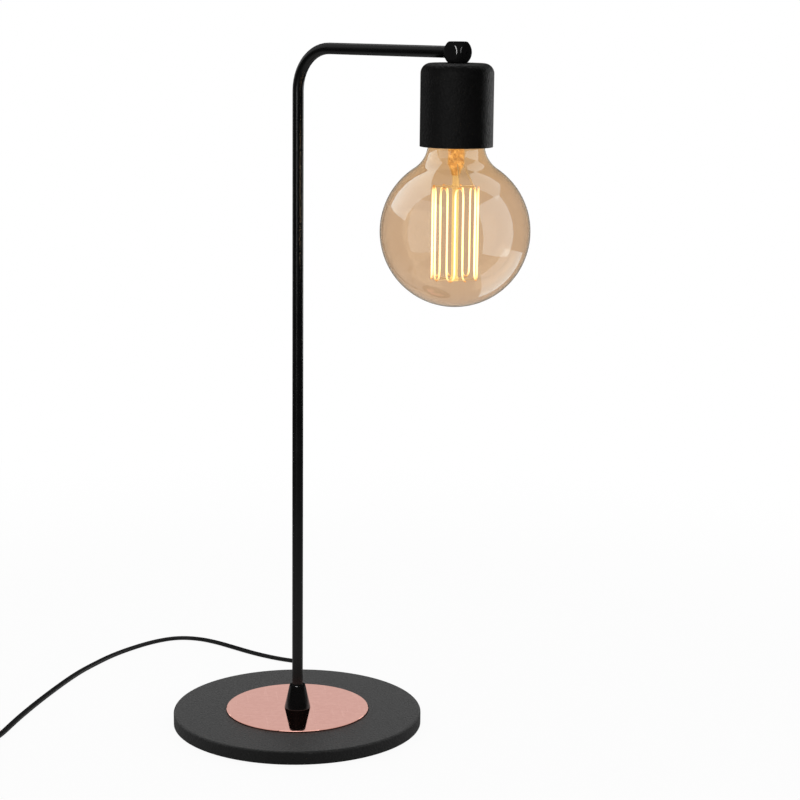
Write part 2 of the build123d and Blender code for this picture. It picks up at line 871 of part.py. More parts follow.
def switch_contacts():
    plan = Rectangle(contact_block_width, contact_block_length)
    block = slab(plan, switch_wall, switch_wall + contact_block_height)
    return [at_switch(Pos(0, side * contact_block_spacing / 2, 0) * block) for side in (-1, 1)]


def switch_screws():
    head_top = switch_screw_head_height + loose
    head = upright(switch_screw_head_diameter, loose, head_top)
    screw = head + upright(switch_screw_diameter, loose, head_top + switch_screw_length)
    return [at_switch(place * screw) for place in switch_places()]


# Plug


def plug_body():
    back = plug_back_width / 2
    face = plug_face_width / 2
    outline = Polyline(
        (-back, 0),
        (back, 0),
        (face, plug_shoulder),
        (face, plug_length),
        (-face, plug_length),
        (-face, plug_shoulder),
        close=True,
    )
    body = extrude(make_face(outline), plug_thickness)
    body = fillet(body.edges(), plug_edge_radius)
    middle = plug_thickness / 2
    body -= flex_hole(Vector(0, -overrun, middle), (0, 1, 0), (1, 0, 0), flex_in_plug + overrun)
    for side in (-1, 1):
        hole = rod_between(
            (side * pin_spacing / 2, plug_length - pin_seat, middle),
            (side * pin_spacing / 2, plug_length + overrun, middle),
            pin_diameter + 2 * clearance,
        )
        body -= hole
    return Pos(plug_x, plug_y, 0) * body


def plug_sleeve():
    root = Vector(0, 0, plug_thickness / 2)
    back = (0, -1, 0)
    side = (1, 0, 0)
    root_size = (plug_sleeve_root_width, plug_sleeve_root_height)
    relief = sleeve(root, back, side, plug_sleeve_length, root_size, (sleeve_tip_width, sleeve_tip_height))
    relief -= flex_hole(root + Vector(0, overrun, 0), back, side, plug_sleeve_length + 2 * overrun)
    return Pos(plug_x, plug_y, 0) * relief


def plug_pins():
    middle = plug_thickness / 2
    pins = []
    for side in (-1, 1):
        start = Vector(side * pin_spacing / 2, plug_length - pin_seat, middle)
        pin = rod_between(start, start + Vector(0, pin_seat + pin_length, 0), pin_diameter)
        pin = fillet(pin.edges().group_by(Axis.Y)[-1], pin_diameter / 4)
        pins.append(Pos(plug_x, plug_y, 0) * pin)
    return pins


nodes = [
    base_plate, base_pad, copper_inlay, cord_grommet, ferrule, stem_washer, stem_nut, base_flex,
    stem_tube, stem_flex, arm_locknut, elbow, cup_nipple, cup_shell, cup_washer, cup_nut,
    holder_cap, holder_insert, holder_body, screw_shell, centre_contact, terminal_screws,
    bulb_glass, bulb_cap, bulb_insulator, bulb_tip, bulb_stem, bulb_rod, support_wires, filament, lead_wires,
    cord_run, cord_lead, cord_coil, coil_tie, cord_tail,
    switch_lower, switch_upper, switch_rocker, switch_contacts, switch_screws,
    plug_body, plug_sleeve, plug_pins,
]

os.makedirs("parts", exist_ok=True)
for make in nodes:
    made = make()
    piece = Compound(children=made) if isinstance(made, list) else made
    export_step(piece, os.path.join("parts", make.__name__ + ".step"))
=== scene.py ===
# %% [markdown]
# A bedside lamp: a round base with a copper disc, a thin tube bent once through a right angle, a black cup
# and an amber globe lamp with a lit cage filament. The CAD model is loaded as a fixed frame in metres, with
# +Z up along the pole and +X along the arm. This file dresses it: it adds the pieces whose looks need more
# than a machined solid, and gives every piece a finish made of shader nodes.

# %% Load the frame
import json
from math import cos, pi, radians, sin

import bmesh
import bpy
import numpy as np
from mathutils import Matrix, Vector


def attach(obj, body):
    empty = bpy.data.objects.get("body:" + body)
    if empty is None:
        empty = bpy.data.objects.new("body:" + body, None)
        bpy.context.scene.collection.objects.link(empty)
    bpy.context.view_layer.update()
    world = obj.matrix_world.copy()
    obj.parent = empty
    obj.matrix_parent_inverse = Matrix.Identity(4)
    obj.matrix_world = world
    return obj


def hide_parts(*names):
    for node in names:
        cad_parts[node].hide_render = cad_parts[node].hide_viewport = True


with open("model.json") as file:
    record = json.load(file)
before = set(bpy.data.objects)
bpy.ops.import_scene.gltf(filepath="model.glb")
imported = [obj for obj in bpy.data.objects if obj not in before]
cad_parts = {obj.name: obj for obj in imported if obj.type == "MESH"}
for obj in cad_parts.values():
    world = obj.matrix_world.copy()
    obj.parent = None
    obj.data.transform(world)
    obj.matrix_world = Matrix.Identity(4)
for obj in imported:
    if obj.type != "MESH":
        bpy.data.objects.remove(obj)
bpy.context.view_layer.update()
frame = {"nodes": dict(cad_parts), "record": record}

MM = 0.001

# %% [markdown]
# The camera was fitted to the rims, the tube and the globe in the photograph. It stands a little above the
# arm, about 1.4 m away, and looks 11 degrees down through a long lens. The three axes of the camera are
# worked out from its heading, pitch and roll, so no constraint or aiming helper is needed.

# %% Camera
lens_pixels = 2047.9
image_pixels = 800.0
sensor_width = 36.0
stand_azimuth = radians(44.35)
stand_distance = 1.3818
stand_height = 0.4982
aim_offset = radians(-2.91)
heading = stand_azimuth + aim_offset
pitch = radians(10.9)
roll = radians(0.61)

up = Vector((0, 0, 1))
ahead = Vector((-sin(heading), cos(heading), 0))
right = Vector((cos(heading), sin(heading), 0))
sight = ahead * cos(pitch) - up * sin(pitch)
rise = up * cos(pitch) + ahead * sin(pitch)
picture_right = right * cos(roll) + rise * sin(roll)
picture_up = rise * cos(roll) - right * sin(roll)

camera_data = bpy.data.cameras.new("photo_camera")
camera_data.sensor_fit = "HORIZONTAL"
camera_data.sensor_width = sensor_width
camera_data.lens = lens_pixels * sensor_width / image_pixels
camera = bpy.data.objects.new("photo_camera", camera_data)
bpy.context.scene.collection.objects.link(camera)
stand = Vector((sin(stand_azimuth) * stand_distance, -cos(stand_azimuth) * stand_distance, stand_height))
turn = Matrix((picture_right, picture_up, -sight)).transposed().to_4x4()
camera.matrix_world = Matrix.Translation(stand) @ turn
bpy.context.scene.camera = camera
print("camera: lens", round(camera_data.lens, 2), "mm at", [round(x, 3) for x in stand])

# %% [markdown]
# Most new pieces are grids: an array of rows and columns of points, worked out at once from a formula, whose
# neighbours are joined into quads. A row that shrinks to one point makes a pole, and its doubles are merged.
# The same helper makes the flex, the glass globe, the filament and the screw cap.

# %% Grids into meshes
weld_distance = 1e-7


def grid_object(name, points, rows_close=False, capped=False):
    """A mesh from points[row, column, xyz]. Columns close on themselves, and rows do where asked.

    The quad of row r and column c joins (r, c), (r, c + 1), (r + 1, c + 1) and (r + 1, c), counted round
    the closed ways. Capped ends get one flat face each.
    """
    rows, columns = points.shape[:2]
    index = np.arange(rows * columns).reshape(rows, columns)
    nearer = index if rows_close else index[:-1]
    further = np.roll(index, -1, axis=0) if rows_close else index[1:]
    quads = np.stack([nearer, np.roll(nearer, -1, axis=1), np.roll(further, -1, axis=1), further], axis=-1)
    faces = quads.reshape(-1, 4).tolist()
    if capped:
        faces += [index[0, ::-1].tolist(), index[-1].tolist()]
    mesh = bpy.data.meshes.new(name)
    mesh.from_pydata(points.reshape(-1, 3).tolist(), [], faces)
    work = bmesh.new()
    work.from_mesh(mesh)
    bmesh.ops.remove_doubles(work, verts=work.verts, dist=weld_distance)
    bmesh.ops.recalc_face_normals(work, faces=work.faces)
    work.to_mesh(mesh)
    work.free()
    mesh.polygons.foreach_set("use_smooth", np.ones(len(mesh.polygons), dtype=bool))
    piece = bpy.data.objects.new(name, mesh)
    bpy.context.scene.collection.objects.link(piece)
    return piece


def turned_grid(profile, sides, axis_x):
    """The profile (radius, height) turned about an upright axis: x = axis + r cos a, y = r sin a, z = h."""
    angle = np.linspace(0, 2 * pi, sides, endpoint=False)
    radius, height = profile[:, :1], profile[:, 1:]
    return np.stack([axis_x + radius * np.cos(angle), radius * np.sin(angle), height + 0 * angle], axis=-1)


def carried_grid(path, outline, side_hint):
    """The outline (across, over) carried along a path.

    At each point of the path, across is square to the path and to the hint, and over is square to both:
    point = place + outline_x * across + outline_y * over.
    """
    way = np.gradient(path, axis=0)
    way /= np.linalg.norm(way, axis=1, keepdims=True)
    across = np.cross(side_hint, way)
    across /= np.linalg.norm(across, axis=1, keepdims=True)
    over = np.cross(way, across)
    return path[:, None] + outline[None, :, :1] * across[:, None] + outline[None, :, 1:] * over[:, None]


# %% [markdown]
# The flex is a flat twin lead, two round cores side by side with a groove between them, 4.6 mm wide and
# 2.5 mm thick. It could be a curve with a round bevel, but then the groove would be lost, so a NURBS line
# gives the path and the twin outline is carried along it. The photograph shows it leave behind the pole, bend
# to the left and run out of the picture. The switch, the coil that puts the rest away and the plug lie just
# outside the view.

# %% The flex's route
core_radius = 1.25 * MM
core_offset = 1.05 * MM
table_height = 1.3
base_height = 2.45
switch_x, switch_height, in_switch_height = -112.0, 6.5, 5.2
coil_x, coil_y, coil_radius, coil_pitch = -176.0, -268.0, 34.0, 5.2
coil_low, coil_high = 2.3, 5.4
quarters_in, quarters_out = 15, 14
plug_x, plug_height = -208.7, 6.85

out_of_base = [
    (-60.1, 62.9, base_height), (-79.2, 82.9, base_height), (-90.3, 94.5, table_height),
    (-105.2, 88.7, table_height), (-128.0, 85.0, table_height), (-150.0, 84.6, table_height),
    (-172.0, 84.4, table_height), (-190.0, 80.8, table_height), (-203.5, 71.0, table_height),
    (-209.0, 54.0, table_height), (-209.6, 33.0, table_height), (-207.0, 8.0, table_height),
    (-200.5, -16.0, table_height), (-192.0, -42.0, table_height), (-171.0, -86.0, table_height),
    (-147.0, -131.0, table_height), (-124.0, -168.0, table_height), (switch_x, -190.0, switch_height),
    (switch_x, -211.0, switch_height),
]
through_switch = [(switch_x, -224.0, in_switch_height), (switch_x, -250.0, in_switch_height)]
to_coil = [
    (switch_x, -263.0, switch_height), (switch_x, -281.0, switch_height), (-123.0, -295.0, table_height),
    (-144.0, coil_y - coil_radius, coil_low),
]
to_plug = [(plug_x, -260.0, coil_high), (plug_x, -244.0, plug_height), (plug_x, -210.0, plug_height)]


def coil_points(per_quarter):
    """The turns wind in on one layer and out on the next.

    Radius falls by a pitch a turn to the middle of the winding and grows again. The height climbs by a
    smooth step over two quarter turns there. The control points of a quadratic spline stand outside its
    curve, by 4 / (3 + cos step), so that much is added to the radius.
    """
    points = []
    step = pi / 2 / per_quarter
    outset = 4 / (3 + cos(step))
    for count in range((quarters_in + quarters_out) * per_quarter + 1):
        quarter = count / per_quarter
        radius = outset * (coil_radius - coil_pitch / 4 * (quarters_in - abs(quarters_in - quarter)))
        climb = min(max((quarter - quarters_in + 1) / 2, 0), 1)
        height = coil_low + (coil_high - coil_low) * climb * climb * (3 - 2 * climb)
        angle = -pi / 2 - quarter * pi / 2
        points.append((coil_x + radius * cos(angle), coil_y + radius * sin(angle), height))
    return points


route = np.array(out_of_base + through_switch + to_coil + coil_points(per_quarter=4) + to_plug) * MM
print("flex route:", len(route), "points")

# %% [markdown]
# The line through the route is read as points, close enough together that the bends look round, and the twin
# outline is carried along them.


# %% The flex
def smooth_path(name, points, steps):
    """Points read along a quadratic NURBS line that has the route's points as its control points."""
    line = bpy.data.curves.new(name, "CURVE")
    line.dimensions = "3D"
    line.resolution_u = steps
    spline = line.splines.new("NURBS")
    spline.points.add(len(points) - 1)
    spline.points.foreach_set("co", np.c_[points, np.ones(len(points))].ravel())
    spline.order_u = 3
    spline.use_endpoint_u = True
    holder = bpy.data.objects.new(name, line)
    bpy.context.scene.collection.objects.link(holder)
    read = bpy.data.meshes.new_from_object(holder)
    places = np.empty(len(read.vertices) * 3)
    read.vertices.foreach_get("co", places)
    bpy.data.objects.remove(holder)
    bpy.data.curves.remove(line)
    bpy.data.meshes.remove(read)
    return places.reshape(-1, 3)


def twin_outline(steps):
    """Two arcs of the cores' radius, each 270 degrees about its own core, which meet across a groove."""
    arc = np.linspace(-0.75 * pi, 0.75 * pi, steps)
    near = np.c_[core_offset + core_radius * np.cos(arc), core_radius * np.sin(arc)]
    return np.r_[near, -near]


flex_path = smooth_path("flex_line", route, steps=6)
flex_grid = carried_grid(flex_path, twin_outline(steps=11), np.array(up))
flex = grid_object("flex", flex_grid, capped=True)

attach(flex, "lamp")
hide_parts("cord_run", "cord_lead", "cord_coil", "cord_tail")
nodes = frame["nodes"]

# %% [markdown]
# The globe is blown glass with a wall of 0.8 mm. The CAD solid has its true shape, but a lens and a mirror
# show every flat facet, so the glass is turned afresh from the same arcs, far more finely. The outer profile
# runs from the bottom up to the throat inside the screw cap, and the inner one runs back down.

# %% The glass globe
bulb_x = 138.3 * MM
globe_radius = 47.5
globe_centre = 358.6
glass_wall = 0.8
neck_radius = 17.7
neck_height = 414.0
throat_radius = 12.3
cap_bottom = 420.6
glass_top = 428.6
globe_rows, flare_rows, taper_rows, throat_rows = 72, 24, 8, 5


def glass_profile(shrink):
    """Bottom pole, globe arc, flare arc, taper and throat, drawn in by shrink.

    The flare is an arc about a point outside the neck, tangent to the neck's side and to the globe. With a
    rise h from the globe's centre to the neck, its radius is (h^2 + n^2 - g^2) / (2 (g - n)).
    """
    globe = globe_radius - shrink
    neck = neck_radius - shrink
    height = neck_height - globe_centre
    flare = (height**2 + neck**2 - globe**2) / (2 * (globe - neck))
    tilt = np.arctan2(height, neck + flare)
    round_globe = np.linspace(-pi / 2, tilt, globe_rows)
    round_flare = np.linspace(pi + tilt, pi, flare_rows)[1:]
    globe_part = np.c_[globe * np.cos(round_globe), globe_centre + globe * np.sin(round_globe)]
    flare_part = np.c_[neck + flare + flare * np.cos(round_flare), neck_height + flare * np.sin(round_flare)]
    throat = throat_radius - shrink
    taper_heights = np.linspace(neck_height, cap_bottom, taper_rows)[1:]
    taper_part = np.c_[np.linspace(neck, throat, taper_rows)[1:], taper_heights]
    throat_heights = np.linspace(cap_bottom, glass_top, throat_rows)[1:]
    throat_part = np.c_[np.full(len(throat_heights), throat), throat_heights]
    return np.r_[globe_part, flare_part, taper_part, throat_part] * MM


glass_outline = np.r_[glass_profile(0.0), glass_profile(glass_wall)[::-1]]
glass_outline[[0, -1], 0] = 0.0
globe = grid_object("globe", turned_grid(glass_outline, sides=128, axis_x=bulb_x))
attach(globe, "bulb")
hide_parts("bulb_glass")
print("globe:", len(globe.data.polygons), "faces")

# %% [markdown]
# The filament is one fine wire that is drawn up and down between two rings of hooks, like the bars of a cage.
# Its strands are almost upright and turn round each hook in a small bow, so it is a tube carried along a
# path with a formula of its own, instead of straight sticks.

# %% The filament
cage_radius = 14.5
cage_middle = 357.8
cage_half = 29.2
cage_hooks = 9
strand_radius = 0.52
hook_sharpness = 24


def filament_path(steps):
    """A wire on a cylinder, with phase p from hook to hook.

    Height is the arcsine of nearly the sine of p, a zigzag with rounded tips. With hook k the nearest one
    and f the phase from it in half turns, the angle is (k + tanh(sharpness f) / 2) half turns over the
    hooks, so it stands almost still along a strand and turns at a hook.
    """
    phase = np.linspace(0.5 * pi, (2 * cage_hooks - 0.5) * pi, steps)
    tip_share = 0.999
    height = cage_half * np.arcsin(tip_share * np.sin(phase)) / np.arcsin(tip_share)
    hook = np.round(phase / pi - 0.5)
    angle = (hook + np.tanh(hook_sharpness * (phase / pi - 0.5 - hook)) / 2) * pi / cage_hooks
    places = np.c_[cage_radius * np.cos(angle), cage_radius * np.sin(angle), cage_middle + height] * MM
    return places + np.array([bulb_x, 0, 0])


def round_outline(radius, sides):
    """A circle in the plane of the outline: (r cos a, r sin a)."""
    angle = np.linspace(0, 2 * pi, sides, endpoint=False)
    return radius * np.c_[np.cos(angle), np.sin(angle)]


wire_path = filament_path(steps=2400)
from_axis = wire_path - np.array([bulb_x, 0, 0])
from_axis[:, 2] = 0
wire_grid = carried_grid(wire_path, round_outline(strand_radius * MM, sides=8), from_axis)
filament = grid_object("filament_wire", wire_grid, capped=True)
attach(filament, "bulb")
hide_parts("filament")
print("filament:", len(filament.data.polygons), "faces")

# %% [markdown]
# The lamp's brass cap has a rolled thread of 3.63 mm pitch. The CAD cap is a plain sleeve, because the joint
# stands for the thread. The thread shows when the lamp is unscrewed, so the cap is made again as a sleeve
# whose radius is a wave along a helix.

# %% The screw cap
cap_radius = 13.0
cap_wall = 0.4
cap_top = 443.1
thread_pitch = 3.629
thread_depth = 0.85
collar_height = 3.0
thread_fade = 1.5


def cap_grid(rows, sides):
    """Outer and inner skin of the cap.

    With height h and angle a, the radius is R - depth (1 + cos(2 pi h / pitch - a)) / 2, faded to a plain
    collar at both ends. The inner skin lies a wall's thickness inside.
    """
    height = np.linspace(cap_bottom, cap_top, rows)[:, None]
    angle = np.linspace(0, 2 * pi, sides, endpoint=False)[None]
    wave = (1 + np.cos(2 * pi * height / thread_pitch - angle)) / 2
    fade = np.clip(np.minimum(height - cap_bottom - collar_height, cap_top - height) / thread_fade, 0, 1)
    outer = cap_radius - thread_depth * wave * fade
    skins = []
    for radius, order in ((outer, 1), (outer - cap_wall, -1)):
        skin = np.stack([radius * np.cos(angle), radius * np.sin(angle), height + 0 * angle], axis=-1)
        skins.append(skin[::order])
    return np.concatenate(skins) * MM + np.array([bulb_x, 0, 0])


screw_cap = grid_object("screw_cap", cap_grid(rows=96, sides=96), rows_close=True)
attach(screw_cap, "bulb")
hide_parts("bulb_cap")
print("screw cap:", len(screw_cap.data.polygons), "faces")

# %% [markdown]
# Finishes are shader nodes. Writing node trees link by link hides what they say, so one small class wraps a
# socket: sums and products of signals add Math nodes, and every other node comes from one method. Patterns
# read Object coordinates in metres, so a scale of 2000 gives grains of about half a millimetre.


# %% Signals
class Signal:
    """One output socket of a material's node tree."""

    def __init__(self, tree, socket=None):
        self.tree = tree
        self.socket = socket

    def node(self, kind, settings=None, sockets=None, output=0):
        """Any node: its type, its settings, the values or links of its sockets, and the output wanted."""
        made = self.tree.nodes.new(kind)
        for key, value in (settings or {}).items():
            if key == "stops":
                ramp = made.color_ramp.elements
                for element, (place, shade) in zip((ramp[0], ramp[1]), value):
                    element.position = place
                    element.color = shade
            else:
                setattr(made, key, value)
        for key, value in (sockets or {}).items():
            self.feed(made.inputs[key], value)
        return Signal(self.tree, made.outputs[output])

    def feed(self, socket, value):
        if isinstance(value, Signal):
            self.tree.links.new(value.socket, socket)
        else:
            socket.default_value = value

    def maths(self, operation, first, second):
        return self.node("ShaderNodeMath", {"operation": operation}, {0: first, 1: second})

    def __add__(self, other):
        return self.maths("ADD", self, other)

    def __radd__(self, other):
        return self.maths("ADD", other, self)

    def __sub__(self, other):
        return self.maths("SUBTRACT", self, other)

    def __rsub__(self, other):
        return self.maths("SUBTRACT", other, self)

    def __mul__(self, other):
        return self.maths("MULTIPLY", self, other)

    def __rmul__(self, other):
        return self.maths("MULTIPLY", other, self)


def object_place(start):
    """The piece's own coordinates, in metres."""
    return start.node("ShaderNodeTexCoord", output="Object")


def noise(start, scale, detail=2.0, stretch=None, turned=0.0):
    """Noise on the piece's own coordinates, turned about Z and drawn out along an axis where asked."""
    place = object_place(start)
    if turned:
        place = start.node("ShaderNodeMapping", None, {"Vector": place, "Rotation": (0.0, 0.0, turned)})
    if stretch:
        place = start.node("ShaderNodeMapping", None, {"Vector": place, "Scale": stretch})
    return start.node("ShaderNodeTexNoise", None, {"Vector": place, "Scale": scale, "Detail": detail})


def height_of(start):
    """The height of the surface above the table."""
    return start.node("ShaderNodeSeparateXYZ", None, {"Vector": object_place(start)}, "Z")


def ramp(start, value, low, high, first, last):
    """A smooth step of the value, from first at low to last at high."""
    limits = {"Value": value, "From Min": low, "From Max": high, "To Min": first, "To Max": last}
    return start.node("ShaderNodeMapRange", {"interpolation_type": "SMOOTHSTEP"}, limits)


def blend_colours(factor, first, second):
    """A Mix node between two colours."""
    colours = {0: factor, 6: (*first, 1.0), 7: (*second, 1.0)}
    return factor.node("ShaderNodeMix", {"data_type": "RGBA"}, colours, 2)


def bump(height, strength, distance):
    """A Bump node, whose height is in units of distance."""
    sockets = {"Height": height, "Strength": strength, "Distance": distance}
    return height.node("ShaderNodeBump", None, sockets)


def new_finish(name, fixed, varied):
    """A Principled material: fixed sockets get numbers, and varied(start) gives the signals of the others."""
    material = bpy.data.materials.new(name)
    material.use_nodes = True
    shader = material.node_tree.nodes["Principled BSDF"]
    start = Signal(material.node_tree)
    for socket, value in fixed.items():
        shader.inputs[socket].default_value = value
    for socket, signal in varied(start).items():
        start.feed(shader.inputs[socket], signal)
    return material


# %% [markdown]
# The steel is powder coated: a matte black skin with a fine sandy grain. The grain is a noise of about half
# a millimetre that feeds the bump, and it also changes the colour and the roughness a little. The tube has
# the same black in a smoother coat. The ferrule and the elbow are turned and milled pieces in a gloss coat,
# so that their edges catch small glints.

# %% Painted steel
pit_black, crest_black = (0.0002, 0.0002, 0.0002), (0.006, 0.0058, 0.0058)
deep_black, thin_black = (0.002, 0.002, 0.0021), (0.005, 0.005, 0.005)


def sandy_coat(start):
    """Base colour follows broad noise and fine grain, and roughness and the normal follow the grain."""
    grain = noise(start, 700.0, 4.0)
    cloud = noise(start, 35.0)
    return {
        "Base Color": blend_colours(0.6 * grain + 0.4 * cloud, pit_black, crest_black),
        "Roughness": 0.34 + 0.3 * grain,
        "Normal": bump(grain, 1.0, 0.0008),
    }


def smooth_coat(start):
    """A thinner coat over a tube: the same black with a finer, flatter grain."""
    grain = noise(start, 2600.0)
    cloud = noise(start, 60.0)
    return {
        "Base Color": blend_colours(cloud, deep_black, thin_black),
        "Roughness": 0.2 + 0.14 * cloud,
        "Normal": bump(grain, 0.05, 0.0002),
    }


def turned_coat(start):
    """A gloss coat over turned metal, with faint tool marks."""
    marks = noise(start, 1500.0, 2.0, (1.0, 1.0, 4.0))
    cloud = noise(start, 120.0)
    return {
        "Base Color": blend_colours(cloud, deep_black, thin_black),
        "Roughness": 0.1 + 0.07 * cloud,
        "Normal": bump(marks, 0.05, 0.0001),
    }


sandy_paint = new_finish("sandy_black_paint", {"Specular IOR Level": 0.45}, sandy_coat)
smooth_paint = new_finish("smooth_black_paint", {"Specular IOR Level": 0.6}, smooth_coat)
turned_paint = new_finish("turned_black_paint", {"Specular IOR Level": 0.5}, turned_coat)

# %% [markdown]
# The disc is polished copper under a clear lacquer. It mirrors the ferrule, so its roughness is low, and
# faint scuffs and rolling lines keep it from looking like a perfect mirror.


# %% Copper
def polished_copper(start):
    """Stretched noise for the rolling lines and thin scuffs two ways, broad noise for the metal's tone."""
    lines = noise(start, 900.0, 3.0, (1.0, 0.25, 1.0))
    one_way, other_way = (noise(start, 420.0, 2.0, (1.0, 0.06, 1.0), turned) for turned in (0.9, 2.3))
    scuffs = ramp(start, one_way, 0.58, 0.70, 0.0, 1.0) + ramp(start, other_way, 0.58, 0.70, 0.0, 1.0)
    mottle = ramp(start, noise(start, 300.0, 3.0), 0.35, 0.65, 0.0, 1.0)
    tone = start.maths("MINIMUM", 0.3 * noise(start, 40.0) + 0.35 * mottle + 0.4 * scuffs, 1.0)
    return {
        "Base Color": blend_colours(tone, (0.87, 0.425, 0.345), (0.97, 0.505, 0.42)),
        "Roughness": 0.02 + 0.04 * lines + 0.05 * scuffs,
        "Normal": bump(lines, 0.008, 0.0002),
    }


copper = new_finish("polished_copper", {"Metallic": 1.0}, polished_copper)

# %% [markdown]
# The globe is clear glass with an amber tint, which deepens a little in broad cloudy patches. The white
# studio shows through it twice, once through each wall, so the tint of one wall is about the square root of
# the colour that is seen. The glass of the stem and the rod inside is warmer, and both glow with painted
# light, an emission that stands in for the filament lighting them.

# %% Glass
neck_warms = (0.376, 0.404)
strands_end = (0.378, 0.388)


def amber_tint(start):
    """Amber that is warmer up in the neck, and deeper in patches and where the wall is seen edge on."""
    edge_on = start.node("ShaderNodeLayerWeight", None, {"Blend": 0.5}, "Facing")
    deep = start.maths("POWER", edge_on, 5.0)
    neck = ramp(start, height_of(start), *neck_warms, 0.0, 1.0)
    tint = blend_colours(neck, (0.787, 0.641, 0.499), (0.79, 0.618, 0.43))
    deepness = 0.1 * noise(start, 14.0) + 0.6 * deep
    deeper = {0: deepness, 6: tint, 7: (0.64, 0.47, 0.31, 1.0)}
    return {"Base Color": start.node("ShaderNodeMix", {"data_type": "RGBA"}, deeper, 2)}


def golden_tint_and_painted_glints(start):
    """The stem's glass: dark flecks for its press marks, and painted golden glints, an emission for the lit
    wires' light.
    """
    fleck = noise(start, 420.0, 3.0)
    # The golden end of this ramp feeds the emission: painted glints, not a colour of the glass.
    stops = ((0.44, (0.04, 0.016, 0.003, 1.0)), (0.62, (0.85, 0.58, 0.2, 1.0)))
    shade = start.node("ShaderNodeValToRGB", {"stops": stops}, {"Fac": fleck})
    return {
        "Base Color": blend_colours(fleck, (0.75, 0.40, 0.10), (1.0, 0.78, 0.42)),
        "Emission Color": shade,
        "Normal": bump(fleck, 0.5, 0.001),
    }


def rod_tint_and_painted_glow(start):
    """The centre rod has a painted glow, an emission that is yellow between the strands and dull brown above
    them.
    """
    above = ramp(start, height_of(start), *strands_end, 0.0, 1.0)
    return {
        "Base Color": blend_colours(noise(start, 300.0), (0.95, 0.80, 0.35), (1.0, 0.9, 0.5)),
        "Emission Color": blend_colours(above, (1.0, 0.84, 0.34), (0.55, 0.38, 0.2)),
    }


clear = {"Transmission Weight": 1.0, "IOR": 1.45, "Roughness": 0.0}
amber_glass = new_finish("amber_glass", clear, amber_tint)
# The stem's emission is a painted glow that stands in for the filament lighting its glass.
stem_glass = new_finish("stem_glass", clear | {"Emission Strength": 0.48}, golden_tint_and_painted_glints)
# The rod's emission is painted light that stands in for the filament lighting it.
rod_painted_glow = {"Roughness": 0.2, "Emission Strength": 0.75}
rod_glass = new_finish("rod_glass", rod_painted_glow, rod_tint_and_painted_glow)

# %% [markdown]
# The filament is lit. Its light is strong enough to read as white hot with a warm edge, a little cooler
# near the hooks, which draw heat away. The wires that carry it are drawn metal with a painted warm glow,
# an emission that stands in for the filament's light on them.


# %% Filament and wires
def glowing_wire(start):
    """Emission goes from orange at the hooks to pale yellow at mid height, and differs by strand.

    Paths that have met paint or metal on the way see none of it, so the black isn't speckled with it.
    """
    away = start.maths("ABSOLUTE", (height_of(start) - cage_middle * MM) * (1 / (cage_half * MM)), 0.0)
    cooler = start.maths("POWER", away, 10.0)
    weaker = 0.7 * noise(start, 160.0, 1.0, (1.0, 1.0, 0.04))
    depths = (start.node("ShaderNodeLightPath", output=kind + " Depth") for kind in ("Glossy", "Diffuse"))
    bounced = sum(depths, 0.0)
    hue = blend_colours(cooler, (1.0, 0.76, 0.40), (0.20, 0.09, 0.02))
    dimming = {0: start.maths("MINIMUM", weaker + bounced, 1.0), 6: hue, 7: (0.0, 0.0, 0.0, 1.0)}
    return {"Emission Color": start.node("ShaderNodeMix", {"data_type": "RGBA"}, dimming, 2)}


def drawn_wire(start):
    """A metal grey with lines along the wire."""
    lines = noise(start, 2500.0)
    return {
        "Base Color": blend_colours(lines, (0.50, 0.42, 0.33), (0.68, 0.60, 0.48)),
        "Roughness": 0.25 + 0.2 * lines,
    }


filament_glow = {"Base Color": (0.2, 0.1, 0.04, 1.0), "Emission Strength": 7.0}
hot_filament = new_finish("hot_filament", filament_glow, glowing_wire)
# The wires' emission is a painted glow that stands in for the filament's light on them.
wire_painted_glow = {"Metallic": 1.0, "Emission Color": (1.0, 0.72, 0.36, 1.0), "Emission Strength": 0.4}
support_metal = new_finish("support_wire", wire_painted_glow, drawn_wire)

# %% [markdown]
# What is left is brass on the cap and the pins, zinc plated fasteners, black mouldings for the holder, the
# switch and the plug, the soft skin of the flex, and the foam pad. Each has its own grain and gloss.


# %% Brass, zinc, mouldings, flex and pad
def metal_skin(dark, pale, low, spread):
    """A metal whose tone and roughness follow fine noise."""
    def varied(start):
        grain = noise(start, 700.0, 3.0)
        cloud = noise(start, 90.0)
        return {
            "Base Color": blend_colours(cloud, dark, pale),
            "Roughness": low + spread * grain,
            "Normal": bump(grain, 0.06, 0.0002),
        }
    return varied


def moulded_skin(dark, pale, scale, low, spread, depth):
    """A moulding whose spark-eroded grain has its own scale and depth."""
    def varied(start):
        grain = noise(start, scale, 2.0)
        cloud = noise(start, 50.0)
        return {
            "Base Color": blend_colours(cloud, dark, pale),
            "Roughness": low + spread * grain,
            "Normal": bump(grain, depth, 0.0003),
        }
    return varied


metal = {"Metallic": 1.0}
satin = {"Specular IOR Level": 0.4}
gloss = {"Specular IOR Level": 0.5}
ink, soot, slate = (0.008, 0.008, 0.008), (0.016, 0.016, 0.016), (0.024, 0.024, 0.025)
brass = new_finish("plain_brass", metal, metal_skin((0.62, 0.46, 0.22), (0.74, 0.58, 0.32), 0.2, 0.2))
zinc = new_finish("zinc_plate", metal, metal_skin((0.52, 0.53, 0.55), (0.66, 0.66, 0.66), 0.28, 0.2))
plastic = new_finish("black_moulding", satin, moulded_skin(ink, soot, 1400.0, 0.34, 0.2, 0.12))
rocker_gloss = new_finish("gloss_moulding", gloss, moulded_skin(soot, slate, 900.0, 0.18, 0.1, 0.04))
holder_resin = new_finish("holder_resin", {}, moulded_skin(ink, (0.02, 0.018, 0.016), 800.0, 0.4, 0.2, 0.1))
flex_skin = new_finish("flex_skin", satin, moulded_skin(ink, soot, 1800.0, 0.36, 0.16, 0.03))
